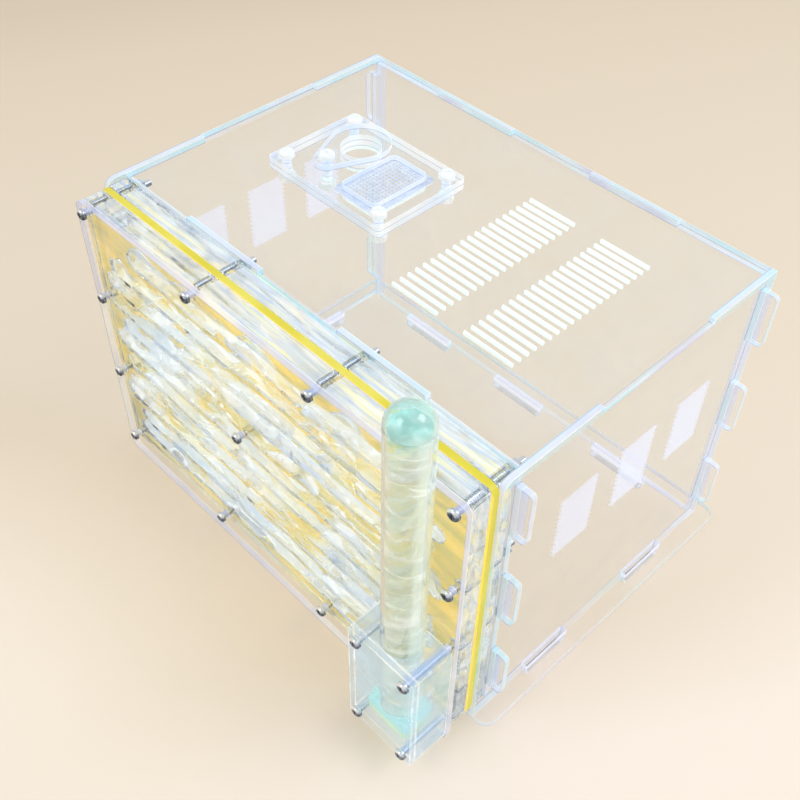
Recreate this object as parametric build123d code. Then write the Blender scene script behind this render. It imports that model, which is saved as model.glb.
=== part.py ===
from build123d import *
import math
import os

# ---------------------------------------------------------------------------
# Driving dimensions, millimetres. X runs across the front, Y from front to
# back, Z up from the surface that the feet stand on.
# ---------------------------------------------------------------------------

# Outworld box, made of laser cut sheet
sheet = 3.0
box_width = 240.0
box_depth = 156.0
wall_height = 156.0
joint_gap = 0.1
foot_drop = 5.0
base_margin = 8.0
base_corner = 6.0

# Finger joints
tab_reach = 5.0
tab_corner = 2.5
side_tab_height = 28.0
side_tab_pitch = 54.0
side_tab_rows = 3
side_tab_middle_z = 88.5
foot_width = 28.0
foot_pitch = 73.0
foot_middle = 76.0
panel_foot_width = 34.0
panel_foot_pitch = 72.0
panel_foot_count = 3
lid_side_finger = 43.5
lid_front_finger = 48.0
lid_front_finger_pitch = 96.0
nose_corner = 5.0

# Ventilation slots
lid_slot_count = 20
lid_slot_pitch = 4.4
lid_slot_length = 25.0
lid_slot_width = 1.0
lid_slot_rows_x = (30.5, 70.0)
lid_slot_middle_y = 77.5
side_slit_count = 13
side_slit_pitch = 2.75
side_slit_length = 22.0
side_slit_width = 0.8
side_patch_count = 3
side_patch_pitch = 37.5
side_patch_middle_y = 77.0
side_patch_middle_z = 107.0

# Nest, bolted to the front of the box
nest_end_gap = 1.8
nest_body_thickness = 10.0
divider_thickness = 3.0
nest_bottom_gap = 3.0
nest_top_drop = 1.5
nest_corner = 4.0
passage_radius = 4.0

# Galleries, carved into the front face of both nest bodies
gallery_floor = 2.0
gallery_rows = 11
gallery_pitch = 12.2
gallery_bottom_margin = 16.6
gallery_end_margin = 15.2
gallery_end_shift = 5.0
gallery_end_phase = 0.37
gallery_width = 7.4
gallery_flare = 0.05
gallery_flare_length = 43.0
gallery_swing = 0.8
gallery_wave_length = 66.0
gallery_row_phase = 0.13
gallery_steps = 18
shaft_width = 6.4
front_shaft_x = 78.0
rear_shaft_x = -62.0
screw_boss_radius = 3.4

# Steel screws and nuts
screw_radius = 1.5
screw_hole_gap = 0.2
screw_thread_gap = 0.03
screw_head_radius = 2.75
screw_head_height = 2.0
head_rounding = 0.6
screw_inset = 5.3
screw_rows = 4
screw_columns = 4
screw_tip = 3.6
middle_screw_x = -13.8
recess_width = 0.7
recess_length = 3.2
recess_depth = 1.0
nut_across_flats = 5.5
nut_thickness = 2.4

# Water tower
tank_width = 37.0
tank_height = 66.0
tank_depth = 18.7
tank_wall = 6.0
tank_screw_inset = 5.0
tube_diameter = 18.0
tube_length = 180.0
tube_wall = 1.2
tube_gap = 0.25
sponge_height = 12.0
sponge_gap = 0.4
seat_gap = 0.3
seep_hole_radius = 1.0
seep_hole_pitch = 6.0
seep_hole_columns = 3
seep_hole_rows = 2

# Feeding hatch, stacked on the lid
hatch_width = 72.0
hatch_depth = 53.0
hatch_x = -42.3
hatch_y = 76.8
hatch_corner = 2.0
hatch_screw_inset = 6.0
feed_hole_radius = 9.5
feed_hole_x = -55.5
feed_hole_y = 86.0
window_width = 22.0
window_depth = 33.0
window_x = -30.0
window_y = 76.5
window_corner = 3.0
mesh_thickness = 0.4
mesh_lip = 2.5
mesh_gap = 0.05
mesh_pitch = 2.0
mesh_hole = 1.3

# Swing cover of the feeding hole
door_pivot_y = 65.5
door_cover_radius = 14.0
door_pivot_end_radius = 6.0
door_running_gap = 0.15
pivot_gap = 0.08

# White nylon screws and nuts
nylon_radius = 2.0
nylon_head_radius = 3.75
nylon_head_height = 2.8
nylon_nut_across_flats = 7.0
nylon_nut_thickness = 3.2
nylon_tip = 1.0
nylon_slot_width = 1.0
nylon_slot_depth = 1.2

# ---------------------------------------------------------------------------
# Levels and stations worked out from the driving dimensions
# ---------------------------------------------------------------------------

base_top = foot_drop + sheet
lid_bottom = base_top + wall_height
lid_top = lid_bottom + sheet
half_width = box_width / 2
inner_half = half_width - sheet

front_panel_back = sheet
back_panel_front = box_depth - sheet
rear_body_front = -nest_body_thickness
divider_front = rear_body_front - divider_thickness
front_body_front = divider_front - nest_body_thickness
cover_front = front_body_front - sheet
tank_front = cover_front - tank_depth
tank_plate_front = tank_front - sheet

nest_half = half_width - nest_end_gap
nest_bottom = base_top + nest_bottom_gap
nest_top = lid_top - nest_top_drop
screw_x = [(nest_half - screw_inset) * (1 - 2 * i / (screw_columns - 1))
           for i in range(screw_columns)]
screw_z = [nest_bottom + screw_inset
           + i * (nest_top - nest_bottom - 2 * screw_inset) / (screw_rows - 1)
           for i in range(screw_rows)]
gallery_lowest = nest_bottom + gallery_bottom_margin
gallery_reach = nest_half - gallery_end_margin
middle_screw_z = gallery_lowest + (gallery_rows // 2 + 0.5) * gallery_pitch

tank_right = nest_half
tank_left = tank_right - tank_width
tank_x = (tank_left + tank_right) / 2
tank_bottom = nest_bottom
tank_top = tank_bottom + tank_height
tank_y = (tank_front + cover_front) / 2
tank_screw_x = (tank_left + tank_screw_inset, tank_right - tank_screw_inset)
tank_screw_z = (tank_bottom + tank_screw_inset, tank_top - tank_screw_inset)
chamber_bottom = tank_bottom + tank_wall
chamber_top = tank_top - tank_wall
sponge_top = chamber_bottom + sponge_height
tube_radius = tube_diameter / 2
tube_bottom = sponge_top + seat_gap

hatch_top = lid_top + 2 * sheet
door_bottom = hatch_top + door_running_gap
door_top = door_bottom + sheet

# The origin is the middle of the whole object's outline on the floor.
front_end = tank_plate_front - screw_head_height
back_end = box_depth + base_margin
origin_y = (front_end + back_end) / 2

tab_zs = [side_tab_middle_z + (i - (side_tab_rows - 1) / 2) * side_tab_pitch
          for i in range(side_tab_rows)]
foot_ys = (foot_middle - foot_pitch / 2, foot_middle + foot_pitch / 2)
panel_foot_xs = [(i - (panel_foot_count - 1) / 2) * panel_foot_pitch
                 for i in range(panel_foot_count)]
front_finger_xs = (-lid_front_finger_pitch / 2, lid_front_finger_pitch / 2)
hatch_screws = [(hatch_x + sx * (hatch_width / 2 - hatch_screw_inset),
                 hatch_y + sy * (hatch_depth / 2 - hatch_screw_inset))
                for sx in (-1, 1) for sy in (-1, 1)]


# ---------------------------------------------------------------------------
# Helpers
# ---------------------------------------------------------------------------

def rect(u0, u1, v0, v1, corner=0.0):
    """A rectangle by its limits, with rounded corners where a radius is given."""
    if corner > 0:
        shape = RectangleRounded(u1 - u0, v1 - v0, corner)
    else:
        shape = Rectangle(u1 - u0, v1 - v0)
    return Pos((u0 + u1) / 2, (v0 + v1) / 2) * shape


def across(sketch, y_back, thickness):
    """Extrudes a sketch drawn in X and Z into a plate that faces the front."""
    plane = Plane(origin=(0, y_back, 0), x_dir=(1, 0, 0), z_dir=(0, -1, 0))
    return extrude(plane * sketch, thickness)


def along(sketch, x_low, thickness):
    """Extrudes a sketch drawn in Y and Z into a plate that faces the side."""
    plane = Plane(origin=(x_low, 0, 0), x_dir=(0, 1, 0), z_dir=(1, 0, 0))
    return extrude(plane * sketch, thickness)


def flat(sketch, z_low, thickness):
    """Extrudes a sketch drawn in X and Y into a plate that lies flat."""
    return extrude(Plane.XY.offset(z_low) * sketch, thickness)


def holes(places, radius):
    """Round holes of one radius at a list of places in a sketch."""
    return [Pos(u, v) * Circle(radius) for u, v in places]


def save(name, *solids):
    """Writes a node, moved so that the origin lies under the object's middle."""
    placed = [s.moved(Location((0, -origin_y, 0))) for shape in solids for s in shape.solids()]
    node = placed[0] if len(placed) == 1 else Compound(children=placed)
    node.label = name
    export_step(node, f"parts/{name}.step")


# ---------------------------------------------------------------------------
# Screws and nuts, each made with its head or face at the origin
# ---------------------------------------------------------------------------

def head(radius, height):
    """A pan head that stands on the XY plane, rounded over a share of its height."""
    blank = Pos(0, 0, height / 2) * Cylinder(radius, height)
    rim = blank.edges().filter_by(GeomType.CIRCLE).sort_by(Axis.Z)[-1]
    return fillet(rim, height * head_rounding)


def cross_screw(length):
    """A steel pan head screw with a cross recess, its shank pointing down."""
    shank = Pos(0, 0, -length / 2) * Cylinder(screw_radius, length)
    body = head(screw_head_radius, screw_head_height) + shank
    recess_z = screw_head_height - recess_depth / 2
    for turn in (0, 90):
        bar = Box(recess_length, recess_width, recess_depth)
        body -= Pos(0, 0, recess_z) * Rot(0, 0, turn) * bar
    return body


def slotted_screw(length):
    """A nylon pan head screw with a straight slot, its shank pointing down."""
    shank = Pos(0, 0, -length / 2) * Cylinder(nylon_radius, length)
    body = head(nylon_head_radius, nylon_head_height) + shank
    slot = Box(2 * nylon_head_radius, nylon_slot_width, nylon_slot_depth)
    return body - Pos(0, 0, nylon_head_height - nylon_slot_depth / 2) * slot


def hex_nut(flats, thickness, bore):
    """A hexagon nut that stands on the XY plane."""
    hexagon = RegularPolygon(flats / 2, 6, major_radius=False)
    return extrude(hexagon - Circle(bore), thickness)


def front_screws(places, y_face, length):
    """Steel screws whose heads sit on a face that looks to the front."""
    return [Pos(x, y_face, z) * Rot(90, 0, 0) * cross_screw(length) for x, z in places]


def panel_nuts(places):
    """Steel nuts on the back of the box's front panel."""
    nut = hex_nut(nut_across_flats, nut_thickness, screw_radius + screw_thread_gap)
    return [Pos(x, front_panel_back, z) * Rot(-90, 0, 0) * nut for x, z in places]


# ---------------------------------------------------------------------------
# Where the nest's screws go
# ---------------------------------------------------------------------------

def under_tank(x, z):
    return x > tank_left - screw_head_radius and z < tank_top + screw_head_radius


rim_screws = [(x, z) for i, x in enumerate(screw_x) for j, z in enumerate(screw_z)
              if i in (0, screw_columns - 1) or j in (0, screw_rows - 1)]
nest_screws = [place for place in rim_screws if not under_tank(*place)]
nest_screws.append((middle_screw_x, middle_screw_z))
tank_screws = [(x, z) for x in tank_screw_x for z in tank_screw_z]
through_holes = holes(nest_screws + tank_screws, screw_radius + screw_hole_gap)
bosses = holes(nest_screws + tank_screws, screw_boss_radius)


# ---------------------------------------------------------------------------
# Galleries
# ---------------------------------------------------------------------------

def gallery_middle(row, x, phase):
    """Height of a gallery's middle line at a place across the nest."""
    turn = x / gallery_wave_length + row * gallery_row_phase + phase
    return gallery_lowest + row * gallery_pitch + gallery_swing * math.sin(2 * math.pi * turn)


def gallery_half(row, x, phase):
    """Half the height of a gallery at a place across the nest."""
    turn = x / gallery_flare_length - row * 2 * gallery_row_phase + phase
    return gallery_width / 2 * (1 + gallery_flare * math.sin(2 * math.pi * turn))


def gallery_ends(row, phase):
    """The two ends of a gallery, which differ from row to row."""
    shift = gallery_end_shift * math.sin(2 * math.pi * (row * gallery_end_phase + phase))
    return -gallery_reach + shift, gallery_reach - gallery_end_shift + shift


def gallery(row, phase):
    """One gallery's outline: two wavy edges closed by round ends."""
    low, high = gallery_ends(row, phase)
    xs = [low + (high - low) * i / gallery_steps for i in range(gallery_steps + 1)]
    mids = [gallery_middle(row, x, phase) for x in xs]
    halves = [gallery_half(row, x, phase) for x in xs]
    top = [(x, m + h) for x, m, h in zip(xs, mids, halves)]
    bottom = [(x, m - h) for x, m, h in zip(xs, mids, halves)]
    edges = [
        Spline(*top),
        ThreePointArc(top[-1], (xs[-1] + halves[-1], mids[-1]), bottom[-1]),
        Spline(*reversed(bottom)),
        ThreePointArc(bottom[0], (xs[0] - halves[0], mids[0]), top[0]),
    ]
    return make_face(edges)


def shaft(x):
    """The upright passage that joins all the galleries of a nest body."""
    top = gallery_lowest + (gallery_rows - 1) * gallery_pitch
    return rect(x - shaft_width / 2, x + shaft_width / 2, gallery_lowest, top)


def galleries(phase, shaft_x):
    """All galleries of one nest body with the shaft between them."""
    return [gallery(row, phase) for row in range(gallery_rows)] + [shaft(shaft_x)]


front_phase = 0.0
rear_phase = 0.5


def crossing(row, turns):
    """A place where the galleries of both bodies pass at the same height."""
    return gallery_wave_length * (turns - row * gallery_row_phase), gallery_lowest + row * gallery_pitch


# Holes that let the ants through: from nest to nest, then on into the box
divider_passages = [crossing(1, -1), crossing(9, 2)]
box_passages = [crossing(6, 0)]


# ---------------------------------------------------------------------------
# The box
# ---------------------------------------------------------------------------

def make_base_plate():
    plate = rect(-half_width - base_margin, half_width + base_margin,
                 rear_body_front, box_depth + base_margin, base_corner)
    for y in foot_ys:
        for side in (-1, 1):
            middle = side * (half_width - sheet / 2)
            plate -= rect(middle - sheet / 2 - joint_gap, middle + sheet / 2 + joint_gap,
                          y - foot_width / 2 - joint_gap, y + foot_width / 2 + joint_gap)
    for x in panel_foot_xs:
        for y in (0, back_panel_front):
            plate -= rect(x - panel_foot_width / 2 - joint_gap,
                          x + panel_foot_width / 2 + joint_gap,
                          y - joint_gap, y + sheet + joint_gap)
    return flat(plate, foot_drop, sheet)


def side_panel_outline():
    """Both side panels: feet below, fingers above, slots for the cross panels."""
    panel = rect(rear_body_front, box_depth, base_top, lid_top)
    nose = panel.vertices().group_by(Axis.X)[0].sort_by(Axis.Y)[-1]
    panel = fillet(nose, nose_corner)
    panel -= rect(lid_side_finger, box_depth - lid_side_finger, lid_bottom, lid_top)
    for y in foot_ys:
        panel += rect(y - foot_width / 2, y + foot_width / 2, 0, base_top + foot_drop, tab_corner)
    for z in tab_zs:
        low = z - side_tab_height / 2 - joint_gap
        high = z + side_tab_height / 2 + joint_gap
        panel -= rect(-joint_gap, front_panel_back + joint_gap, low, high)
        panel -= rect(back_panel_front - joint_gap, box_depth + joint_gap, low, high)
    slit_reach = (side_slit_count - 1) / 2
    for i in range(side_patch_count):
        y = side_patch_middle_y + (i - (side_patch_count - 1) / 2) * side_patch_pitch
        for j in range(side_slit_count):
            z = side_patch_middle_z + (j - slit_reach) * side_slit_pitch
            panel -= rect(y - side_slit_length / 2, y + side_slit_length / 2,
                          z - side_slit_width / 2, z + side_slit_width / 2)
    return panel


def make_left_side_panel():
    return along(side_panel_outline(), -half_width, sheet)


def make_right_side_panel():
    return along(side_panel_outline(), inner_half, sheet)


def cross_panel_outline():
    """Front and back panels: tabs through the sides, fingers up, feet down."""
    panel = rect(-inner_half + joint_gap, inner_half - joint_gap, base_top, lid_bottom)
    reach = half_width + tab_reach
    for z in tab_zs:
        panel += rect(-reach, reach, z - side_tab_height / 2, z + side_tab_height / 2, tab_corner)
    for x in front_finger_xs:
        panel += rect(x - lid_front_finger / 2, x + lid_front_finger / 2,
                      lid_bottom - sheet, lid_top)
    for x in panel_foot_xs:
        panel += rect(x - panel_foot_width / 2, x + panel_foot_width / 2,
                      0, base_top + foot_drop, tab_corner)
    return panel


def make_front_panel():
    panel = cross_panel_outline() - through_holes - holes(box_passages, passage_radius)
    return across(panel, front_panel_back, sheet)


def make_back_panel():
    return across(cross_panel_outline(), box_depth, sheet)


def make_top_lid():
    lid = rect(-half_width, half_width, 0, box_depth)
    edge = inner_half - joint_gap
    for side in (-1, 1):
        outer = side * (half_width + joint_gap)
        low_x = min(side * edge, outer)
        high_x = max(side * edge, outer)
        lid -= rect(low_x, high_x, -joint_gap, lid_side_finger + joint_gap)
        lid -= rect(low_x, high_x, box_depth - lid_side_finger - joint_gap, box_depth + joint_gap)
    for x in front_finger_xs:
        low_x = x - lid_front_finger / 2 - joint_gap
        high_x = x + lid_front_finger / 2 + joint_gap
        lid -= rect(low_x, high_x, -joint_gap, front_panel_back + joint_gap)
        lid -= rect(low_x, high_x, back_panel_front - joint_gap, box_depth + joint_gap)
    for x in lid_slot_rows_x:
        for i in range(lid_slot_count):
            y = lid_slot_middle_y + (i - (lid_slot_count - 1) / 2) * lid_slot_pitch
            lid -= rect(x - lid_slot_length / 2, x + lid_slot_length / 2,
                        y - lid_slot_width / 2, y + lid_slot_width / 2)
    lid -= hatch_cuts()
    return flat(lid, lid_bottom, sheet)


# ---------------------------------------------------------------------------
# The feeding hatch
# ---------------------------------------------------------------------------

def window(margin=0.0):
    return rect(window_x - window_width / 2 - margin, window_x + window_width / 2 + margin,
                window_y - window_depth / 2 - margin, window_y + window_depth / 2 + margin,
                window_corner)


def hatch_cuts():
    """Feeding hole, mesh window and screw holes, the same through all layers."""
    cuts = holes(hatch_screws, nylon_radius + screw_hole_gap)
    cuts += holes([(feed_hole_x, door_pivot_y)], nylon_radius + screw_hole_gap)
    cuts += holes([(feed_hole_x, feed_hole_y)], feed_hole_radius)
    cuts.append(window())
    return cuts


def hatch_outline():
    return rect(hatch_x - hatch_width / 2, hatch_x + hatch_width / 2,
                hatch_y - hatch_depth / 2, hatch_y + hatch_depth / 2, hatch_corner)


def make_hatch_lower_plate():
    plate = flat(hatch_outline() - hatch_cuts(), lid_top, sheet)
    rebate = flat(window(mesh_lip + mesh_gap), lid_top + sheet - mesh_thickness, mesh_thickness)
    return plate - rebate


def make_hatch_upper_plate():
    return flat(hatch_outline() - hatch_cuts(), lid_top + sheet, sheet)


def make_hatch_mesh():
    cloth = window(mesh_lip)
    columns = int(window_width / mesh_pitch)
    rows = int(window_depth / mesh_pitch)
    with_holes = GridLocations(mesh_pitch, mesh_pitch, columns, rows)
    cloth -= Pos(window_x, window_y) * with_holes * Rectangle(mesh_hole, mesh_hole)
    return flat(cloth, lid_top + sheet - mesh_thickness, mesh_thickness)


def make_feed_door():
    """Swing cover: a round lid drawn out to a small round end at the pivot."""
    cover = Pos(feed_hole_x, feed_hole_y) * Circle(door_cover_radius)
    end = Pos(feed_hole_x, door_pivot_y) * Circle(door_pivot_end_radius)
    outline = make_hull(cover.edges() + end.edges())
    outline -= Pos(feed_hole_x, door_pivot_y) * Circle(nylon_radius + pivot_gap)
    return flat(outline, door_bottom, sheet)


def nylon_nut(x, y):
    nut = hex_nut(nylon_nut_across_flats, nylon_nut_thickness, nylon_radius + screw_thread_gap)
    return Pos(x, y, lid_bottom - nylon_nut_thickness) * nut


def make_hatch_screws():
    length = hatch_top - lid_bottom + nylon_nut_thickness + nylon_tip
    return [Pos(x, y, hatch_top) * Rot(0, 0, 45) * slotted_screw(length) for x, y in hatch_screws]


def make_pivot_screw():
    seat = door_top + door_running_gap
    length = seat - lid_bottom + nylon_nut_thickness + nylon_tip
    return Pos(feed_hole_x, door_pivot_y, seat) * slotted_screw(length)


# ---------------------------------------------------------------------------
# The nest
# ---------------------------------------------------------------------------

def nest_outline(bottom):
    return rect(-nest_half, nest_half, bottom, nest_top, nest_corner)


def make_nest_cover():
    plate = nest_outline(foot_drop) - through_holes
    first_z = chamber_bottom + sponge_height / 2 - (seep_hole_rows - 1) / 2 * seep_hole_pitch
    first_x = tank_x - (seep_hole_columns - 1) / 2 * seep_hole_pitch
    seeps = [(first_x + i * seep_hole_pitch, first_z + j * seep_hole_pitch)
             for i in range(seep_hole_columns) for j in range(seep_hole_rows)]
    return across(plate - holes(seeps, seep_hole_radius), front_body_front, sheet)


def carved_body(outline, y_back, phase, shaft_x, passages):
    """A nest body: galleries carved from its front down to a thin floor."""
    floor_front = y_back - gallery_floor
    plate = across(outline - through_holes - holes(passages, passage_radius),
                   y_back, nest_body_thickness)
    carving = Sketch() + galleries(phase, shaft_x) - bosses
    return plate - across(carving, floor_front, nest_body_thickness - gallery_floor)


def make_nest_front_body():
    outline = nest_outline(nest_bottom)
    return carved_body(outline, divider_front, front_phase, front_shaft_x, divider_passages)


def make_divider_sheet():
    plate = nest_outline(nest_bottom) - through_holes - holes(divider_passages, passage_radius)
    return across(plate, rear_body_front, divider_thickness)


def make_nest_rear_body():
    outline = rect(-inner_half + joint_gap, inner_half - joint_gap, base_top, nest_top)
    return carved_body(outline, 0, rear_phase, rear_shaft_x, box_passages)


def make_nest_screws():
    length = front_panel_back + nut_thickness + screw_tip - cover_front
    return front_screws(nest_screws, cover_front, length)


# ---------------------------------------------------------------------------
# The water tower
# ---------------------------------------------------------------------------

def tank_outline():
    cuts = holes(tank_screws, screw_radius + screw_hole_gap)
    return rect(tank_left, tank_right, tank_bottom, tank_top) - cuts


def make_tank_plate():
    return across(tank_outline(), tank_front, sheet)


def make_tank_body():
    chamber = rect(tank_left + tank_wall, tank_right - tank_wall, chamber_bottom, chamber_top)
    frame = across(tank_outline() - chamber, cover_front, tank_depth)
    neck = Cylinder(tube_radius + tube_gap, 2 * tank_wall)
    return frame - Pos(tank_x, tank_y, tank_top) * neck


def make_tank_screws():
    length = front_panel_back + nut_thickness + screw_tip - tank_plate_front
    return front_screws(tank_screws, tank_plate_front, length)


def make_sponge():
    half = tank_width / 2 - tank_wall - sponge_gap
    block = rect(tank_x - half, tank_x + half,
                 tank_front + sponge_gap, cover_front - sponge_gap)
    return flat(block, chamber_bottom, sponge_height)


def capsule(radius, bottom, top):
    """A cylinder closed by a half sphere, whose highest point is at top."""
    column = Pos(0, 0, bottom) * extrude(Circle(radius), top - radius - bottom)
    return column + Pos(0, 0, top - radius) * Sphere(radius)


def make_water_tube():
    top = tube_bottom + tube_length
    outer = capsule(tube_radius, tube_bottom, top)
    inner = capsule(tube_radius - tube_wall, tube_bottom - tube_wall, top - tube_wall)
    return Pos(tank_x, tank_y, 0) * (outer - inner)


# ---------------------------------------------------------------------------
# All nodes
# ---------------------------------------------------------------------------

def main():
    os.makedirs("parts", exist_ok=True)
    save("base_plate", make_base_plate())
    save("left_side_panel", make_left_side_panel())
    save("right_side_panel", make_right_side_panel())
    save("front_panel", make_front_panel())
    save("back_panel", make_back_panel())
    save("top_lid", make_top_lid())
    save("hatch_lower_plate", make_hatch_lower_plate())
    save("hatch_upper_plate", make_hatch_upper_plate())
    save("hatch_mesh", make_hatch_mesh())
    save("feed_door", make_feed_door())
    save("feed_door_screw", make_pivot_screw())
    save("feed_door_nut", nylon_nut(feed_hole_x, door_pivot_y))
    save("hatch_screws", *make_hatch_screws())
    save("hatch_nuts", *[nylon_nut(x, y) for x, y in hatch_screws])
    save("nest_cover", make_nest_cover())
    save("nest_front_body", make_nest_front_body())
    save("divider_sheet", make_divider_sheet())
    save("nest_rear_body", make_nest_rear_body())
    save("nest_screws", *make_nest_screws())
    save("nest_nuts", *panel_nuts(nest_screws))
    save("tank_front_plate", make_tank_plate())
    save("tank_body", make_tank_body())
    save("tank_screws", *make_tank_screws())
    save("tank_nuts", *panel_nuts(tank_screws))
    save("tank_sponge", make_sponge())
    save("water_tube", make_water_tube())


main()
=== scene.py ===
import math

import bpy
from mathutils import Matrix, Vector
from mathutils.kdtree import KDTree


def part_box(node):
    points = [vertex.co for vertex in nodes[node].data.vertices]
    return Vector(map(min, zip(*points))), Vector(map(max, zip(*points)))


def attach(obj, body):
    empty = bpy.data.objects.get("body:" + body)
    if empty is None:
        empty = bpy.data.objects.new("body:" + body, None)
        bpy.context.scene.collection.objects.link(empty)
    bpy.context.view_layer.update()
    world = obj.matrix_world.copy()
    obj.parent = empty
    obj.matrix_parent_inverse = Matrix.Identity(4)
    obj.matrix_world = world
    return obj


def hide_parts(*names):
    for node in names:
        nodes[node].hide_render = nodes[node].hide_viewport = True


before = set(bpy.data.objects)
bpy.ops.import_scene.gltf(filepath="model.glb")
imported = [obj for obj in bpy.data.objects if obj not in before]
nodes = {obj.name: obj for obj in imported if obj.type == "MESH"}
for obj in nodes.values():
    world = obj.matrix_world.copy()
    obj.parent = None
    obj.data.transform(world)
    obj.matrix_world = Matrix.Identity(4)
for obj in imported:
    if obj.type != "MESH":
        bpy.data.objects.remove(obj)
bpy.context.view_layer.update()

bpy.ops.object.select_all(action="DESELECT")

MM = 0.001
AXES = {"X": 0, "Y": 1, "Z": 2}
ACRYLIC_IOR = 1.49
GLASS_IOR = 1.47
WATER_IOR = 1.33

# The nest's top row of screws, and how their shanks show through its top edge.
SCREW_INSET = 5.3 * MM
SHANK_SHIFT = 3.2 * MM
SHANK_WINDOW = 2.6 * MM

# The width of the painted highlight lines along the tank's cut edges.
EDGE_HIGHLIGHT = 0.55 * MM

# The carved galleries.
CARVING_GRID = 1.3 * MM
WANDER_LENGTH = 28 * MM
WANDER_HEIGHT = 26 * MM
TOOL_MARK_LENGTH = 10 * MM
TOOL_MARK_DEPTH = 1.8 * MM
FACE_GAP = 0.03 * MM
PLAIN_CORNER = (8 * MM, 33 * MM, 8 * MM, 24 * MM)

# The air slits of the side panels lie between these heights.
SLITS = ("Z", 60 * MM, 150 * MM)


# ---------------------------------------------------------------------------
# Finishes
# ---------------------------------------------------------------------------

def tint(red, green, blue):
    """A colour given as it looks on a screen, from 0 to 255, as the shader wants it."""
    return tuple(((c / 255 + 0.055) / 1.055) ** 2.4 if c > 10 else c / 3294.6
                 for c in (red, green, blue)) + (1.0,)


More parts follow.
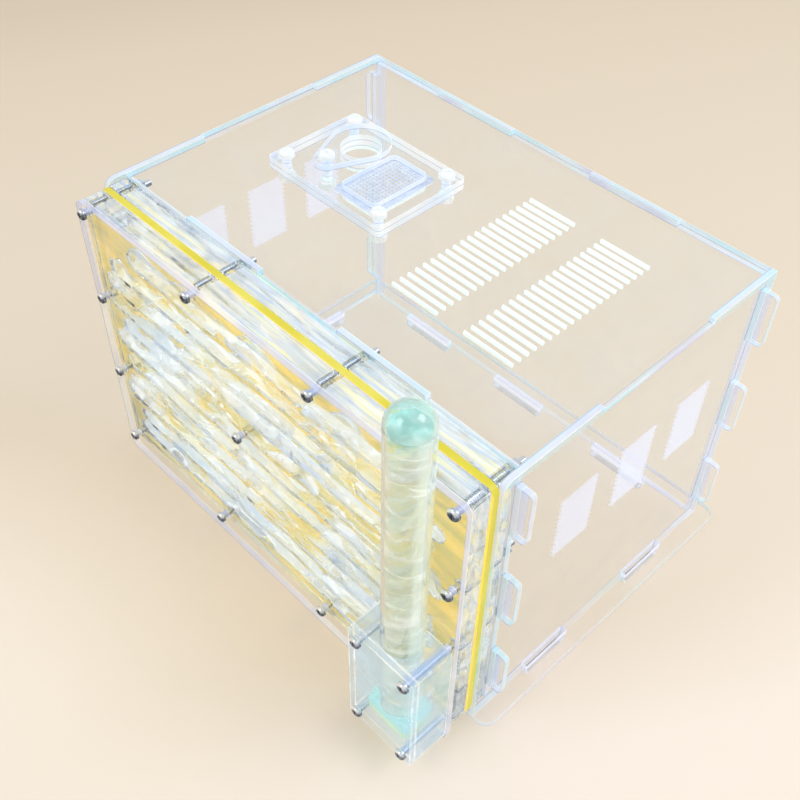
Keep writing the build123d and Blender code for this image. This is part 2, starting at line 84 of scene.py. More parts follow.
class Finish:
    """A material under construction, with the nodes that most finishes share."""

    def __init__(self, name):
        self.material = bpy.data.materials.new(name)
        self.material.use_nodes = True
        self.tree = self.material.node_tree
        self.tree.nodes.clear()
        where = self.add("ShaderNodeTexCoord")
        self.place = where.outputs["Object"]
        self.place_axes = self.split(self.place)
        self.normal_axes = self.split(where.outputs["Normal"])
        self.facing_axes = [self.math("ABSOLUTE", part) for part in self.normal_axes]

    def add(self, kind, **settings):
        node = self.tree.nodes.new(kind)
        for name, value in settings.items():
            setattr(node, name, value)
        return node

    def put(self, socket, value):
        if isinstance(value, bpy.types.NodeSocket):
            self.tree.links.new(value, socket)
        else:
            socket.default_value = value

    def split(self, vector):
        """The three parts of a vector."""
        node = self.add("ShaderNodeSeparateXYZ")
        self.put(node.inputs[0], vector)
        return list(node.outputs)

    def math(self, operation, *values):
        node = self.add("ShaderNodeMath", operation=operation)
        for socket, value in zip(node.inputs, values):
            self.put(socket, value)
        return node.outputs[0]

    def mix(self, share, low, high):
        """A colour between two, by a share from 0 to 1."""
        node = self.add("ShaderNodeMix", data_type="RGBA")
        for socket, value in zip((node.inputs[0], node.inputs[6], node.inputs[7]),
                                 (share, low, high)):
            self.put(socket, value)
        return node.outputs[2]

    def blend(self, share, low, high):
        """A number between two, by a share from 0 to 1."""
        node = self.add("ShaderNodeMix", data_type="FLOAT")
        for socket, value in zip((node.inputs[0], node.inputs[2], node.inputs[3]),
                                 (share, low, high)):
            self.put(socket, value)
        return node.outputs[0]

    def noise(self, scale, detail=3.0, stretch=(1, 1, 1), distortion=0.0, shift=(0, 0, 0)):
        """Cloudy values from 0 to 1, with features about 1 / scale metres wide."""
        mapping = self.add("ShaderNodeMapping")
        self.put(mapping.inputs["Vector"], self.place)
        mapping.inputs["Scale"].default_value = stretch
        mapping.inputs["Location"].default_value = shift
        node = self.add("ShaderNodeTexNoise")
        self.put(node.inputs["Vector"], mapping.outputs[0])
        node.inputs["Scale"].default_value = scale
        node.inputs["Detail"].default_value = detail
        node.inputs["Distortion"].default_value = distortion
        return node.outputs["Fac"]

    def ramp(self, value, *stops, smooth=True):
        """Colours along a scale: stops are (position, colour)."""
        node = self.add("ShaderNodeValToRGB")
        node.color_ramp.interpolation = "EASE" if smooth else "LINEAR"
        elements = node.color_ramp.elements
        while len(elements) < len(stops):
            elements.new(0.5)
        for element, (position, colour) in zip(elements, stops):
            element.position = position
            element.color = colour
        self.put(node.inputs[0], value)
        return node.outputs[0]

    def spread(self, value, low, high, to_low=0.0, to_high=1.0):
        """Stretches a range of values to another, held at its ends."""
        node = self.add("ShaderNodeMapRange", clamp=True)
        for socket, number in zip(node.inputs, (value, low, high, to_low, to_high)):
            self.put(socket, number)
        return node.outputs[0]

    def near(self, axis, middle, reach):
        """1 where the place along an axis is within reach of the middle, else 0."""
        return self.math("COMPARE", self.place_axes[AXES[axis]], middle, reach)

    def inside(self, *limits):
        """1 inside limits given as (axis, low, high), else 0."""
        share = None
        for axis, low, high in limits:
            part = self.near(axis, (low + high) / 2, (high - low) / 2)
            share = part if share is None else self.math("MULTIPLY", share, part)
        return share

    def facing(self, axis, least=0.7):
        """1 on surfaces that look along an axis, else 0."""
        return self.math("GREATER_THAN", self.facing_axes[AXES[axis]], least)

    def grazing(self):
        """How strongly the surface mirrors, which grows as it is seen at a lower angle."""
        node = self.add("ShaderNodeFresnel")
        node.inputs["IOR"].default_value = ACRYLIC_IOR
        return node.outputs[0]

    def bump(self, height, distance, strength=1.0):
        """Small dents and marks, distance metres deep."""
        node = self.add("ShaderNodeBump")
        node.inputs["Strength"].default_value = strength
        node.inputs["Distance"].default_value = distance
        self.put(node.inputs["Height"], height)
        return node.outputs[0]

    def shade(self, **sockets):
        """The surface shader, by its sockets' names with spaces left out."""
        shader = self.add("ShaderNodeBsdfPrincipled")
        names = {socket.name.replace(" ", ""): socket for socket in shader.inputs}
        for name, value in sockets.items():
            self.put(names[name], value)
        return shader.outputs[0]

    def done(self, shader):
        output = self.add("ShaderNodeOutputMaterial")
        self.put(output.inputs["Surface"], shader)
        return self.material

    def clear_done(self, shader, shadow):
        """Lets light straight through for shadows, so that clear pieces stay bright.

        shadow is the colour that a ray of light takes on at each surface."""
        light = self.add("ShaderNodeLightPath")
        through = self.add("ShaderNodeBsdfTransparent")
        through.inputs["Color"].default_value = shadow
        pick = self.add("ShaderNodeMixShader")
        self.put(pick.inputs[0], light.outputs["Is Shadow Ray"])
        self.put(pick.inputs[1], shader)
        self.put(pick.inputs[2], through.outputs[0])
        return self.done(pick.outputs[0])


WHITE = tint(248, 250, 252)
ICE = tint(205, 238, 250)
CYAN = tint(186, 236, 248)
LAVENDER = tint(214, 218, 246)
PERIWINKLE = tint(196, 208, 244)
MINT = tint(232, 250, 250)
# The colour of the sheets' faint haze, and of the painted sheen that their faces show at low
# angles.
HAZE_AND_SHEEN = tint(200, 212, 220)
SHADE = tint(168, 178, 208)
GALLERY_LIGHT = tint(208, 234, 246)

CLEAR_SHADOW = (0.97, 0.97, 0.98, 1.0)
SHEET_SHADOW = (0.95, 0.95, 0.955, 1.0)
CARVED_SHADOW = (0.94, 0.94, 0.93, 1.0)
AMBER_SHADOW = tint(250, 226, 170)


def clear_sheet(node, thick_axis, edge_stops, edge_alpha, cuts=None, cut_colour=WHITE,
                cut_alpha=0.6, cut_depth=1.9 * MM, cut_glow=0.36, joints=(),
                haze_alpha=0.002, glow=0.14):
    """Clear cast sheet: faces almost invisible, cut edges pale and bright with a painted glow.

    edge_stops and edge_alpha are the colours and the cover of its cut edges. cuts limits
    the part of the sheet whose inner walls are slots, whiter than its edges, and seen only
    as deep as cut_depth under the outer face. joints are the places of tabs and fingers,
    whose faces get a painted shine where they sit in a slot. haze_alpha is the least cover
    of its faces, and glow and cut_glow the strengths of the painted glow of its edges and
    slot walls, which stands for the light they pass on."""
    low, high = (corner[AXES[thick_axis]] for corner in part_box(node))
    f = Finish(node + "_sheet")
    face = f.facing(thick_axis)
    depth = f.spread(f.place_axes[AXES[thick_axis]], low, high)
    clouds = f.noise(16, 2, shift=(0.3, 0.1, 0.7))
    core = f.ramp(clouds, *edge_stops)
    arris = f.spread(f.math("ABSOLUTE", f.math("SUBTRACT", depth, 0.5)), 0.34, 0.44)
    # Painted highlight in WHITE along the arris on the high side of a cut edge, painted shade in
    # SHADE along the other.
    arris_highlight_and_shade = f.mix(f.math("GREATER_THAN", depth, 0.5), SHADE, WHITE)
    edge_colour = f.mix(arris, core, arris_highlight_and_shade)
    streaks = f.noise(60, 2)
    edge_cover = f.spread(streaks, 0.3, 0.7, edge_alpha * 0.85, min(edge_alpha * 1.15, 1))
    # The strength of the edges' painted glow.
    light = glow
    if cuts is not None:
        in_cuts = f.inside(*cuts)
        outward = depth if high + low > 0 else f.math("SUBTRACT", 1.0, depth)
        seen = f.math("GREATER_THAN", outward, 1 - cut_depth / (high - low))
        edge_colour = f.mix(in_cuts, edge_colour, cut_colour)
        edge_cover = f.blend(in_cuts, edge_cover, f.math("MULTIPLY", seen, cut_alpha))
        light = f.blend(in_cuts, glow, cut_glow)
    smudges = f.spread(f.noise(34, 4, distortion=0.6), 0.35, 0.75, 0.6, 1.5)
    # The faces' cover grows at low angles: a painted sheen in the haze colour that stands for
    # their reflection, over a faint haze of their own.
    haze_and_sheen = f.math("MULTIPLY_ADD", f.grazing(), 0.09, haze_alpha)
    face_cover = f.math("MULTIPLY", haze_and_sheen, smudges)
    face_colour = HAZE_AND_SHEEN
    for joint, joint_colour, joint_alpha in joints:
        in_joint = f.inside(joint)
        face_colour = f.mix(in_joint, face_colour, joint_colour)
        face_cover = f.blend(in_joint, face_cover, joint_alpha)
    colour = f.mix(face, edge_colour, face_colour)
    marks = f.noise(2600, 2, stretch=[0.15 if axis == thick_axis else 1 for axis in AXES])
    return f.clear_done(f.shade(
        BaseColor=colour, Roughness=f.blend(face, 0.42, 0.06), IOR=ACRYLIC_IOR,
        Alpha=f.blend(face, edge_cover, face_cover), EmissionColor=colour,
        EmissionStrength=light, Normal=f.bump(marks, 0.02 * MM)), SHEET_SHADOW)


def carved_block(name, node):
    """Carved clear block: polished plain faces, gallery walls bright with painted glow, clearer
    floors.

    Its long edges are grained and bright with painted glow, with windows over the screws'
    shanks."""
    low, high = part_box(node)
    f = Finish(name)
    rim = 1.0 * MM
    skin = 0.6 * MM
    carved = f.inside(("X", low.x + rim, high.x - rim), ("Y", low.y + skin, high.y - skin),
                      ("Z", low.z + rim, high.z - rim))
    plain = f.facing("Y", 0.97)
    wall = f.spread(f.facing_axes[1], 0.25, 0.85, 1.0, 0.0)
    ribbons = f.noise(70, 3, stretch=(0.25, 1, 1), distortion=0.5)
    grain = f.noise(70, 4, stretch=(0.15, 2.6, 0.6), shift=(0.5, 0.1, 0.2))
    curls = f.noise(60, 3, stretch=(0.5, 1, 1), distortion=1.2, shift=(0.2, 0.4, 0.1))
    # Frost tones, with pale yellow streaks that are painted highlights.
    frost_and_highlight_colour = f.ramp(ribbons, (0.30, tint(210, 220, 236)), (0.42, tint(236, 242, 250)),
                          (0.50, WHITE), (0.55, tint(248, 246, 216)),
                          (0.62, tint(250, 232, 140)), (0.72, tint(218, 230, 244)))
    # Grain tones for the edges, with pale yellow streaks that are painted glints.
    edge_colour = f.ramp(grain, (0.34, tint(188, 206, 240)), (0.44, tint(224, 236, 252)),
                         (0.50, WHITE), (0.56, tint(202, 218, 246)),
                         (0.64, tint(248, 244, 200)), (0.72, WHITE))

    # Painted highlight lines where a gallery's wall turns to its floor.
    lip_highlight = f.spread(f.math("ABSOLUTE", f.math("SUBTRACT", f.facing_axes[1], 0.6)),
                   0.16, 0.34, 1.0, 0.0)
    lip_highlight = f.math("MULTIPLY", lip_highlight, f.spread(curls, 0.38, 0.5))

    # The corner that is left uncarved stays clear.
    place_x, _, place_z = f.place_axes
    bare = f.math("MULTIPLY", f.spread(place_x, low.x + 20 * MM, low.x + 38 * MM, 1.0, 0.0),
                  f.spread(place_z, high.z - 32 * MM, high.z - 20 * MM))

    colour = f.mix(carved, edge_colour, f.mix(lip_highlight, frost_and_highlight_colour, WHITE))
    wall_frost = f.spread(ribbons, 0.32, 0.62, 0.78, 0.26)
    floor_frost = f.spread(curls, 0.38, 0.64, 0.12, 0.55)
    frost = f.blend(lip_highlight, f.blend(wall, floor_frost, wall_frost), 0.9)
    frost = f.blend(bare, frost, 0.04)
    edge_frost = f.blend(plain, f.spread(grain, 0.36, 0.62, 0.14, 0.68), 0.0)

    # The edges are clearer over the screws and at both ends.
    over_screws = 0.0
    for step in (-3, -1, 1, 3):
        screw_x = (high.x - SCREW_INSET) * step / 3
        near_screw = f.near("X", screw_x + SHANK_SHIFT, SHANK_WINDOW)
        over_screws = f.math("MAXIMUM", over_screws, near_screw)
    over_screws = f.math("MULTIPLY", over_screws, f.near("Z", high.z, 2 * MM))
    edge_frost = f.math("MULTIPLY", edge_frost, f.blend(over_screws, 1.0, 0.12))
    edge_frost = f.math("MULTIPLY", edge_frost, f.blend(f.facing("X"), 1.0, 0.6))
    edge_frost = f.blend(f.near("X", low.x, 1.2 * MM), edge_frost, 0.06)

    cover = f.blend(carved, edge_frost, frost)
    # Frosted walls, floors and edges glow with painted light in GALLERY_LIGHT.
    return f.clear_done(f.shade(
        BaseColor=colour, Roughness=f.blend(carved, 0.03, 0.08), IOR=ACRYLIC_IOR,
        TransmissionWeight=f.math("SUBTRACT", 1.0, cover),
        EmissionColor=GALLERY_LIGHT, EmissionStrength=f.math("MULTIPLY", cover, 0.24),
        Normal=f.bump(curls, 0.3 * MM, 0.5)), CARVED_SHADOW)


def amber_sheet():
    """See-through amber faces and lemon yellow cut edges, both lit by a painted glow."""
    f = Finish("amber_sheet")
    face = f.facing("Y")
    clouds = f.noise(22, 3, distortion=0.4)
    amber = f.ramp(clouds, (0.3, tint(248, 212, 74)), (0.55, tint(250, 219, 90)),
                   (0.75, tint(252, 226, 110)))
    lemon = f.ramp(f.noise(40, 2), (0.35, tint(220, 211, 58)), (0.7, tint(232, 226, 96)))
    colour = f.mix(face, lemon, amber)
    # Faces and edges glow with painted light, the faces most.
    return f.clear_done(f.shade(
        BaseColor=colour, Roughness=f.blend(face, 0.4, 0.12), IOR=ACRYLIC_IOR,
        Alpha=f.blend(face, 0.97, f.spread(clouds, 0.3, 0.7, 0.82, 0.9)),
        EmissionColor=colour, EmissionStrength=f.blend(face, 0.08, 0.44)), AMBER_SHADOW)


def screw_chrome():
    """Domed heads with painted light, white on top and dark below, and ringed shanks."""
    f = Finish("screw_chrome")
    blotches = f.noise(900, 3)
    # Painted light and shade: the heads are lighter where they face up and a little to the left,
    # darker where they face down.
    painted_light_tilt = f.math("SUBTRACT", f.normal_axes[2], f.math("MULTIPLY", f.normal_axes[0], 0.4))
    painted_light_tilt = f.math("MULTIPLY_ADD", f.math("SUBTRACT", blotches, 0.5), 0.5, painted_light_tilt)
    colour = f.ramp(f.spread(painted_light_tilt, -0.7, 0.9), (0.0, tint(44, 50, 60)),
                    (0.42, tint(104, 112, 126)), (0.58, tint(196, 206, 220)),
                    (0.75, tint(250, 252, 254)))
    turns = f.add("ShaderNodeTexWave", bands_direction="Y")
    f.put(turns.inputs["Vector"], f.place)
    turns.inputs["Scale"].default_value = 320.0
    rings = f.math("MULTIPLY", f.math("LESS_THAN", f.facing_axes[1], 0.4), turns.outputs["Fac"])
    colour = f.mix(f.math("MULTIPLY", rings, 0.6), colour, tint(176, 196, 232))
    return f.done(f.shade(
        BaseColor=colour, Metallic=1.0, Roughness=f.spread(blotches, 0.3, 0.7, 0.12, 0.3),
        Normal=f.bump(turns.outputs["Fac"], 0.12 * MM, 0.5)))


def white_nylon():
    """Moulded nylon, a little uneven and slightly see-through at its skin."""
    f = Finish("nylon_fasteners")
    clouds = f.noise(500, 4)
    # A weak painted glow in WHITE lightens the nylon.
    return f.done(f.shade(
        BaseColor=f.ramp(clouds, (0.3, tint(232, 240, 244)), (0.7, tint(248, 252, 252))),
        EmissionColor=WHITE, EmissionStrength=0.12,
        Roughness=f.spread(clouds, 0.3, 0.7, 0.3, 0.5), SubsurfaceWeight=0.1,
        SubsurfaceScale=1 * MM, Normal=f.bump(clouds, 0.06 * MM)))


def mesh_steel():
    """Pale woven steel of uneven tone, lightened by a painted glow."""
    f = Finish("hatch_mesh_steel")
    clouds = f.noise(300, 3)
    # A painted glow lightens the mesh.
    return f.done(f.shade(
        BaseColor=f.ramp(clouds, (0.3, tint(194, 206, 226)), (0.7, tint(214, 224, 238))),
        Metallic=0.2, EmissionColor=tint(206, 218, 238), EmissionStrength=0.2,
        Roughness=f.spread(clouds, 0.3, 0.7, 0.3, 0.5)))


def tank_clear(name, node):
    """The tank's cut and glued block: blue grey walls with painted highlight lines along its
    edges and a painted glow.
    """
    f = Finish(name)
    low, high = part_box(node)
    face = f.facing("Y")
    top = f.facing("Z")
    clouds = f.noise(70, 3, distortion=0.5)
    inner = f.inside(("X", low.x + 1 * MM, high.x - 1 * MM),
                     ("Z", low.z + 1 * MM, high.z - 1 * MM))
    right_wall = f.spread(f.place_axes[0], high.x - 8 * MM, high.x - 5 * MM)
    wall = f.ramp(clouds, (0.3, tint(176, 212, 230)), (0.5, tint(206, 232, 248)),
                  (0.7, tint(190, 218, 250)))
    strip = f.mix(right_wall, tint(228, 238, 250), tint(182, 206, 246))
    colour = f.mix(face, f.mix(top, wall, strip), tint(214, 236, 250))

    # An edge is where two of the block's outer planes are near at once.
    middle = (low + high) / 2
    half = (high - low) / 2
    planes = [f.math("GREATER_THAN", f.math("ABSOLUTE", f.math("SUBTRACT", place, m)),
                     h - EDGE_HIGHLIGHT) for place, m, h in zip(f.place_axes, middle, half)]
    near_planes = f.math("ADD", f.math("ADD", planes[0], planes[1]), planes[2])
    edge_highlight = f.math("GREATER_THAN", near_planes, 1.5)
    edge_highlight_cover = f.spread(f.noise(55, 2, shift=(0.3, 0.2, 0.6)), 0.36, 0.64, 0.16, 0.66)
    # Painted white highlight lines along the block's edges.
    colour = f.mix(edge_highlight, colour, WHITE)

    # The faces' cover grows at low angles: a painted sheen that stands for their reflection.
    haze_and_sheen = f.math("MULTIPLY_ADD", f.grazing(), 0.3, 0.05)
    wall_cover = f.blend(inner, 0.46, 0.28)
    top_cover = f.spread(right_wall, 0.0, 1.0, 0.16, 0.4)
    cover = f.blend(face, f.blend(top, wall_cover, top_cover), haze_and_sheen)
    return f.clear_done(f.shade(
        BaseColor=colour, Roughness=0.1, IOR=ACRYLIC_IOR,
        Alpha=f.blend(edge_highlight, cover, edge_highlight_cover), EmissionColor=colour,
        EmissionStrength=f.blend(edge_highlight, 0.13, 0.22),
        Normal=f.bump(clouds, 0.3 * MM, 0.4)), CLEAR_SHADOW)


def tube_glass(node):
    """Thin glass with a painted pale sheen down its right side, and a light, bluish dome that
    the sheen faintly covers.
    """
    low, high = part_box(node)
    f = Finish("test_tube_glass")
    height = f.place_axes[2]
    dome = f.spread(height, high.z - 11 * MM, high.z - 5 * MM)
    body = f.mix(f.noise(60, 3), tint(249, 252, 246), tint(252, 254, 251))
    across = f.math("ADD", f.place_axes[0], f.place_axes[1])
    middle = (low.x + high.x + low.y + high.y) / 2
    # A painted sheen that glows, for a reflection down the tube's right side.
    side = f.spread(f.math("SUBTRACT", across, middle), 2 * MM, 5 * MM)
    streaks = f.noise(40, 2, stretch=(1, 1, 0.3))
    painted_sheen = f.math("MULTIPLY", side, f.spread(streaks, 0.3, 0.6, 0.08, 0.2))
    painted_sheen = f.math("MAXIMUM", painted_sheen, f.math("MULTIPLY", dome, 0.08))
    return f.clear_done(f.shade(
        BaseColor=f.mix(dome, body, tint(224, 249, 247)), Roughness=0.02, IOR=GLASS_IOR,
        TransmissionWeight=f.math("SUBTRACT", 0.98, painted_sheen), EmissionColor=tint(206, 244, 238),
        EmissionStrength=f.math("MULTIPLY", painted_sheen, 0.4)), CLEAR_SHADOW)


def tube_water(node):
    """Water with pale curved streaks of painted light, a faint painted glow, and a brighter aqua
    surface under the dome with painted highlights.
    """
    f = Finish("tube_water")
    rings = f.noise(62, 2, stretch=(0.3, 0.3, 1), distortion=0.5)
    clouds = f.noise(90, 2, shift=(0.4, 0.2, 0.6))
    # Painted light: thin white arcs that glow, for the bright streaks seen bent through the
    # water.
    light_arcs = f.spread(f.math("ABSOLUTE", f.math("SUBTRACT", rings, 0.5)), 0.004, 0.045, 1.0, 0.0)
    light_arcs = f.math("MULTIPLY", light_arcs, f.spread(clouds, 0.42, 0.58))
    colour = f.mix(light_arcs, f.ramp(rings, (0.3, tint(230, 240, 232)), (0.5, tint(240, 244, 232)),
                                (0.7, tint(226, 242, 242))), WHITE)
    haze = f.spread(clouds, 0.3, 0.7, 0.08, 0.18)
    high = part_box(node)[1]
    surface = f.spread(f.place_axes[2], high.z - 15 * MM, high.z - 11 * MM)
    # Under the dome the surface is a brighter aqua, near white in painted highlights.
    light = f.noise(170, 2, shift=(0.1, 0.5, 0.3), distortion=0.4)
    aqua = f.ramp(light, (0.40, tint(166, 228, 222)), (0.50, tint(206, 244, 243)),
                  (0.60, tint(240, 254, 254)))
    colour = f.mix(surface, colour, aqua)
    cover = f.math("MULTIPLY_ADD", light_arcs, 0.38, haze)
    cover = f.math("MAXIMUM", cover, f.math("MULTIPLY", surface, 0.34))
    return f.clear_done(f.shade(
        BaseColor=colour, Roughness=0.03, IOR=WATER_IOR,
        TransmissionWeight=f.math("SUBTRACT", 1.0, cover),
        EmissionColor=colour, EmissionStrength=f.math("MULTIPLY_ADD", light_arcs, 0.2, 0.02),
        Normal=f.bump(rings, 1 * MM, 0.4)), CLEAR_SHADOW)


def wet_sponge(node):
    """Foam with open pores, lime below and aqua where it is wet."""
    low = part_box(node)[0]
    f = Finish("sponge_foam")
    pores = f.noise(900, 4)
    clouds = f.noise(120, 2)
    height = f.math("ADD", f.place_axes[2], f.math("MULTIPLY", clouds, 4 * MM))
    level = f.spread(height, low.z + 6 * MM, low.z + 9 * MM)
    colour = f.mix(level, tint(228, 248, 160), tint(168, 240, 236))
    # Painted shade: where the pores sink, low in the bump, the foam is a darker teal.
    shade = f.mix(f.spread(pores, 0.3, 0.6), tint(156, 220, 216), colour)
    # The foam is lit a little by a painted glow.
    return f.done(f.shade(
        BaseColor=shade, EmissionColor=colour, EmissionStrength=0.15,
        Roughness=f.spread(pores, 0.3, 0.7, 0.3, 0.8), SubsurfaceWeight=0.2,
        SubsurfaceScale=2 * MM, Normal=f.bump(pores, 0.5 * MM)))


def paper_floor():
    """Plain paper with painted light: it grows lighter towards the right, with a painted pool of
    light in front.
    """
    f = Finish("paper_floor")
    # Painted light: the paper lightens along this gradient, towards the right.
    light_gradient = f.math("MULTIPLY_ADD", f.place_axes[0], 0.9,
                 f.math("MULTIPLY", f.place_axes[1], -0.45))
    light_gradient = f.math("MULTIPLY_ADD", f.noise(3, 2), 0.05, light_gradient)
    share = f.spread(light_gradient, -0.57, 0.22)
    paper = f.ramp(share, (0.0, tint(231, 216, 194)), (0.12, tint(238, 223, 202)),
                   (0.3, tint(240, 226, 206)), (0.6, tint(241, 228, 209)),
                   (0.87, tint(246, 233, 216)), (0.96, tint(255, 243, 231)), smooth=False)
    # A painted pool of light on the paper in front.
    reach = f.add("ShaderNodeVectorMath", operation="DISTANCE")
    f.put(reach.inputs[0], f.place)
    f.put(reach.inputs[1], (-0.05, -0.20, 0.0))
    light_pool = f.spread(reach.outputs["Value"], 0.03, 0.16, 1.0, 0.0)
    return f.done(f.shade(BaseColor=f.mix(light_pool, paper, tint(254, 243, 229)),
                          Roughness=0.9, SpecularIORLevel=0.1))


# ---------------------------------------------------------------------------
# Making pieces
# ---------------------------------------------------------------------------

def choose(piece):
    """Makes a piece the only selected and active object."""
    bpy.ops.object.select_all(action="DESELECT")
    piece.select_set(True)
    bpy.context.view_layer.objects.active = piece


def dress(piece, material):
    """Gives a piece its one material."""
    piece.data.materials.clear()
    piece.data.materials.append(material)


def modify(piece, kind, **settings):
    """Adds a modifier and applies it at once."""
    choose(piece)
    modifier = piece.modifiers.new(kind.lower(), kind)
    for name, value in settings.items():
        setattr(modifier, name, value)
    bpy.ops.object.modifier_apply(modifier=modifier.name)


def copy_of(node, name):
    """A copy of a node's mesh as a piece of its own, with its doubles merged."""
    piece = bpy.data.objects.new(name, nodes[node].data.copy())
    bpy.context.scene.collection.objects.link(piece)
    choose(piece)
    bpy.ops.object.mode_set(mode="EDIT")
    bpy.ops.mesh.select_all(action="SELECT")
    bpy.ops.mesh.remove_doubles(threshold=0.00001)
    bpy.ops.object.mode_set(mode="OBJECT")
    return piece


def finish_piece(piece, body, slot, *stands_for):
    """Puts a piece's place in its mesh, then hangs it on what it rides on and hides the nodes it
    stands for.
    """
    choose(piece)
    bpy.ops.object.transform_apply(location=True, rotation=True, scale=True)
    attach(piece, body)
    if stands_for:
        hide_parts(*stands_for)


def galleries_weight(vertex, low, high, screws):
    """How freely a point may move: not at all at the outside and round the screws."""
    x, y, z = vertex.co
    if min(y - low.y, high.y - y) < 0.5 * MM:
        return 0.0
    border = min(x - low.x, high.x - x, z - low.z, high.z - z) - 3 * MM
    bolt = screws.find(Vector((x, 0, z)))[2] - 1.5 * MM
    return max(0.0, min(1.0, border / (5 * MM), bolt / (6 * MM)))


def carve(node, name, fills=()):
    """A nest body whose galleries wander and are worn smooth and uneven by hand work.

    fills are places left solid, as (left, right, top, bottom) from the top left corner."""
    low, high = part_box(node)
    piece = copy_of(node, name)
    for x0, x1, z0, z1 in fills:
        bpy.ops.mesh.primitive_cube_add(size=1, location=(
            low.x + (x0 + x1) / 2, (low.y + high.y) / 2, high.z - (z0 + z1) / 2))
        fill = bpy.context.object
        fill.scale = (x1 - x0, high.y - low.y, z1 - z0)
        piece.select_set(True)
        bpy.context.view_layer.objects.active = piece
        bpy.ops.object.join()
    modify(piece, "REMESH", mode="VOXEL", voxel_size=CARVING_GRID)
    shanks = [v.co for kind in ("nest_screws", "tank_screws") for v in nodes[kind].data.vertices]
    screws = KDTree(len(shanks))
    for index, place in enumerate(shanks):
        screws.insert(Vector((place.x, 0, place.z)), index)
    screws.balance()
    group = piece.vertex_groups.new(name="galleries")
    for vertex in piece.data.vertices:
        group.add([vertex.index], galleries_weight(vertex, low, high, screws), "REPLACE")
    wander = bpy.data.textures.new("gallery_wander", "CLOUDS")
    wander.noise_scale = WANDER_LENGTH
    wander.noise_depth = 1
    modify(piece, "DISPLACE", texture=wander, texture_coords="LOCAL", direction="Z",
           strength=WANDER_HEIGHT, mid_level=0.5, vertex_group="galleries")
    modify(piece, "SMOOTH", factor=0.5, iterations=5, vertex_group="galleries")
    marks = bpy.data.textures.new("tool_marks", "CLOUDS")
    marks.noise_scale = TOOL_MARK_LENGTH
    marks.noise_depth = 1
    modify(piece, "DISPLACE", texture=marks, texture_coords="LOCAL",
           strength=TOOL_MARK_DEPTH, mid_level=0.5, vertex_group="galleries")

    # Nothing leaves the node's box, and the broad faces stay clear of their neighbours.
    least = low + Vector((0, FACE_GAP, 0))
    most = high - Vector((0, FACE_GAP, 0))
    for vertex in piece.data.vertices:
        vertex.co = [min(max(place, a), b) for place, a, b in zip(vertex.co, least, most)]
    choose(piece)
    bpy.ops.object.shade_smooth_by_angle(angle=math.radians(35))
    piece.vertex_groups.clear()
    return piece


def soft_block(node, name):
    """The sponge: a block with soft edges, crowned faces and open pores."""
    low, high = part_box(node)
    middle = (low + high) / 2
    bpy.ops.mesh.primitive_cube_add(size=1, location=middle)
    piece = bpy.context.object
    piece.name = name
    piece.scale = (high - low) * 0.97
    bpy.ops.object.transform_apply(location=False, rotation=False, scale=True)
    modify(piece, "BEVEL", width=1.6 * MM, segments=3)
    modify(piece, "REMESH", mode="VOXEL", voxel_size=0.6 * MM)
    cells = bpy.data.textures.new("open_cells", "CLOUDS")
    cells.noise_scale = 1.4 * MM
    cells.noise_depth = 1
    modify(piece, "DISPLACE", texture=cells, texture_coords="LOCAL", strength=0.9 * MM,
           mid_level=0.75)
    swell = bpy.data.textures.new("uneven_swell", "CLOUDS")
    swell.noise_scale = 9 * MM
    modify(piece, "DISPLACE", texture=swell, texture_coords="LOCAL", strength=0.8 * MM,
           mid_level=0.6)
    choose(piece)
    bpy.ops.object.shade_smooth_by_angle(angle=math.radians(50))
    return piece


def water_column(node, name):
    """The water in the tube: a column with a curved surface under the dome's air."""
    low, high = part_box(node)
    middle = (low + high) / 2
    radius = (high.x - low.x) / 2
    wall = 1.2 * MM
    water_top = high.z - radius - 0.5 * MM
    column = radius - wall - 0.05 * MM
    bpy.ops.mesh.primitive_cylinder_add(
        vertices=64, radius=column, depth=water_top - low.z - 0.5 * MM,
        location=(middle.x, middle.y, (water_top + low.z + 0.5 * MM) / 2))
    piece = bpy.context.object
    piece.name = name
    bpy.ops.object.mode_set(mode="EDIT")
    bpy.ops.mesh.select_mode(type="FACE")
    bpy.ops.mesh.select_all(action="DESELECT")
    bpy.ops.object.mode_set(mode="OBJECT")
    for face in piece.data.polygons:
        face.select = face.normal.z > 0.9
    bpy.ops.object.mode_set(mode="EDIT")
    for inset, drop in ((0.5, 0.7), (0.9, 0.5), (1.6, 0.3), (2.2, 0.1)):
        bpy.ops.mesh.inset(thickness=inset * MM)
        bpy.ops.transform.translate(value=(0, 0, -drop * MM))
    bpy.ops.object.mode_set(mode="OBJECT")
    bpy.ops.object.shade_smooth_by_angle(angle=math.radians(40))
    return piece


# ---------------------------------------------------------------------------
# The camera, which the light and floor are set for
# ---------------------------------------------------------------------------

CAMERA_PLACE = (0.255173, -0.25273, 0.44451)
CAMERA_AZIMUTH, CAMERA_ELEVATION, CAMERA_ROLL = (
    math.radians(angle) for angle in (45.01, 46.228, -1.417))
CAMERA_LENS = 48.27


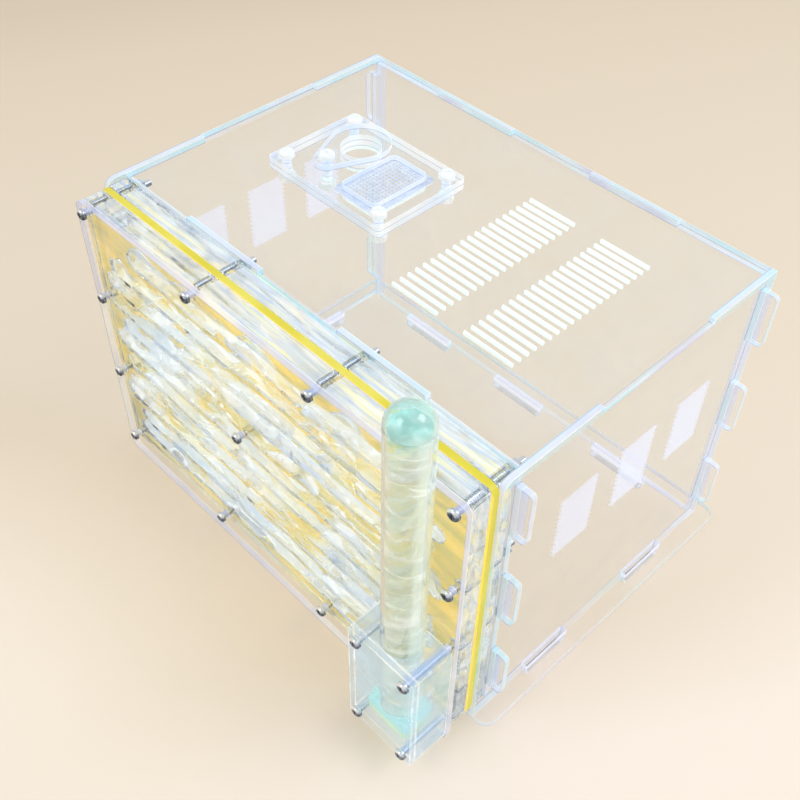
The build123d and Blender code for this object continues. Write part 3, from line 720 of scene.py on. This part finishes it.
def set_camera():
    camera = bpy.data.objects.new("camera", bpy.data.cameras.new("camera"))
    bpy.context.scene.collection.objects.link(camera)
    level = math.cos(CAMERA_ELEVATION)
    back = Vector((math.sin(CAMERA_AZIMUTH) * level, -math.cos(CAMERA_AZIMUTH) * level,
                   math.sin(CAMERA_ELEVATION)))
    right = Vector((math.cos(CAMERA_AZIMUTH), math.sin(CAMERA_AZIMUTH), 0))
    up = back.cross(right)
    turned_right = right * math.cos(CAMERA_ROLL) - up * math.sin(CAMERA_ROLL)
    turned_up = right * math.sin(CAMERA_ROLL) + up * math.cos(CAMERA_ROLL)
    camera.matrix_world = Matrix.Translation(CAMERA_PLACE) @ Matrix(
        (turned_right, turned_up, back)).transposed().to_4x4()
    camera.data.lens = CAMERA_LENS
    camera.data.sensor_width = 36
    camera.data.clip_start = 0.01
    bpy.context.scene.camera = camera


def softbox(name, place, power, colour):
    """A large soft lamp that looks at the habitat."""
    data = bpy.data.lights.new(name, "AREA")
    data.size = 0.6
    data.energy = power
    data.color = colour
    lamp = bpy.data.objects.new(name, data)
    bpy.context.scene.collection.objects.link(lamp)
    lamp.location = place
    aim = Vector((0, 0, 0.05)) - Vector(place)
    lamp.rotation_euler = aim.to_track_quat("-Z", "Y").to_euler()


def set_studio():
    bpy.ops.mesh.primitive_plane_add(size=6)
    floor = bpy.context.object
    floor.name = "paper_floor"
    dress(floor, paper_floor())
    softbox("key_softbox", (0.75, 0.55, 1.15), 5.0, (0.96, 0.98, 1.0))
    softbox("front_softbox", (-0.35, -1.1, 1.2), 4.2, (1.0, 0.99, 0.97))

    world = bpy.data.worlds.new("studio")
    bpy.context.scene.world = world
    world.use_nodes = True
    tree = world.node_tree
    sky = tree.nodes["Background"]
    sky.inputs["Color"].default_value = tint(252, 251, 249)
    sky.inputs["Strength"].default_value = 0.72
    backdrop = tree.nodes.new("ShaderNodeBackground")
    backdrop.inputs["Color"].default_value = tint(234, 222, 204)
    light = tree.nodes.new("ShaderNodeLightPath")
    seen = tree.nodes.new("ShaderNodeMixShader")
    tree.links.new(light.outputs["Is Camera Ray"], seen.inputs[0])
    tree.links.new(sky.outputs[0], seen.inputs[1])
    tree.links.new(backdrop.outputs[0], seen.inputs[2])
    tree.links.new(seen.outputs[0], tree.nodes["World Output"].inputs["Surface"])

    scene = bpy.context.scene
    scene.view_settings.view_transform = "Standard"
    scene.cycles.transparent_max_bounces = 64
    scene.cycles.max_bounces = 24
    scene.cycles.transmission_bounces = 16


# ---------------------------------------------------------------------------
# The habitat
# ---------------------------------------------------------------------------

BLUE_EDGES = ((0.34, CYAN), (0.48, ICE), (0.56, tint(226, 240, 252)), (0.66, LAVENDER),
              (0.76, PERIWINKLE))
FROST_EDGES = ((0.32, tint(206, 236, 250)), (0.44, WHITE), (0.54, tint(216, 232, 254)),
               (0.64, tint(238, 242, 252)), (0.74, LAVENDER))
PALE_EDGES = ((0.32, LAVENDER), (0.46, tint(226, 234, 252)), (0.60, ICE), (0.72, LAVENDER))
COVER_EDGES = ((0.30, PERIWINKLE), (0.5, LAVENDER), (0.7, WHITE))


def within(node, margin, *axes):
    """The limits of a node's box, drawn in by a margin, along some axes."""
    low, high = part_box(node)
    return [(axis, low[AXES[axis]] + margin, high[AXES[axis]] - margin) for axis in axes]


def dress_box():
    """The base plate, the lid and the four panels."""
    lid_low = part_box("top_lid")[0]
    base_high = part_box("base_plate")[1]
    side_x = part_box("right_side_panel")[0].x
    # Feet, fingers and tabs get a painted shine where they sit in a slot.
    feet = (("Z", -1 * MM, base_high.z), tint(228, 236, 255), 0.42)
    fingers = (("Z", lid_low.z, lid_low.z + 4 * MM), CYAN, 0.4)
    tabs = [(("X", sign * side_x - 1.5 * MM, sign * side_x + 4.5 * MM),
             tint(212, 222, 250), 0.4) for sign in (-1, 1)]
    dress(nodes["top_lid"], clear_sheet(
        "top_lid", "Z", BLUE_EDGES, 0.88, cuts=within("top_lid", 6 * MM, "X", "Y"),
        cut_colour=MINT, cut_alpha=0.8, cut_depth=1.7 * MM))
    for side, cut_depth in (("left_side_panel", 3 * MM), ("right_side_panel", 1.3 * MM)):
        dress(nodes[side], clear_sheet(
            side, "X", PALE_EDGES, 0.75, cuts=within(side, 12 * MM, "Y") + [SLITS],
            cut_colour=tint(226, 231, 250), cut_alpha=0.3, cut_depth=cut_depth,
            cut_glow=0.25, joints=(feet, fingers)))
    for panel in ("front_panel", "back_panel"):
        dress(nodes[panel], clear_sheet(panel, "Y", PALE_EDGES, 0.75,
                                        joints=[feet, fingers] + tabs))
    dress(nodes["base_plate"], clear_sheet(
        "base_plate", "Z", PALE_EDGES, 0.72, cuts=within("base_plate", 6 * MM, "X", "Y"),
        cut_colour=tint(232, 238, 255), cut_alpha=0.6, cut_depth=3 * MM))


def dress_hatch():
    """The hatch's plates, mesh, swing cover and nylon screws."""
    for plate in ("hatch_lower_plate", "hatch_upper_plate", "feed_door"):
        dress(nodes[plate], clear_sheet(
            plate, "Z", FROST_EDGES, 0.7, haze_alpha=0.03, glow=0.24))
    dress(nodes["hatch_mesh"], mesh_steel())
    nylon = white_nylon()
    for piece in ("hatch_screws", "hatch_nuts", "feed_door_screw", "feed_door_nut"):
        dress(nodes[piece], nylon)


def dress_nest():
    """The cover, both carved bodies, the divider and the steel screws."""
    dress(nodes["nest_cover"], clear_sheet(
        "nest_cover", "Y", COVER_EDGES, 0.62, glow=0.2))
    for side in ("front", "rear"):
        node = "nest_" + side + "_body"
        fills = [PLAIN_CORNER] if side == "front" else []
        block = carve(node, "carved_" + side + "_block", fills)
        dress(block, carved_block(side + "_galleries", node))
        finish_piece(block, "habitat", "gallery_acrylic", node)
    dress(nodes["divider_sheet"], amber_sheet())
    steel = screw_chrome()
    for piece in ("nest_screws", "nest_nuts", "tank_screws", "tank_nuts"):
        dress(nodes[piece], steel)


def dress_water_tower():
    """The tank, its sponge, the tube and the water in it."""
    dress(nodes["tank_body"], tank_clear("tank_block", "tank_body"))
    dress(nodes["tank_front_plate"], tank_clear("tank_plate", "tank_front_plate"))
    sponge = soft_block("tank_sponge", "sponge_block")
    dress(sponge, wet_sponge("tank_sponge"))
    finish_piece(sponge, "habitat", "wet_sponge", "tank_sponge")
    dress(nodes["water_tube"], tube_glass("water_tube"))
    water = water_column("water_tube", "tube_water_column")
    dress(water, tube_water("water_tube"))
    finish_piece(water, "water_tube", "tube_glass")


set_camera()
set_studio()
dress_box()
dress_hatch()
dress_nest()
dress_water_tower()
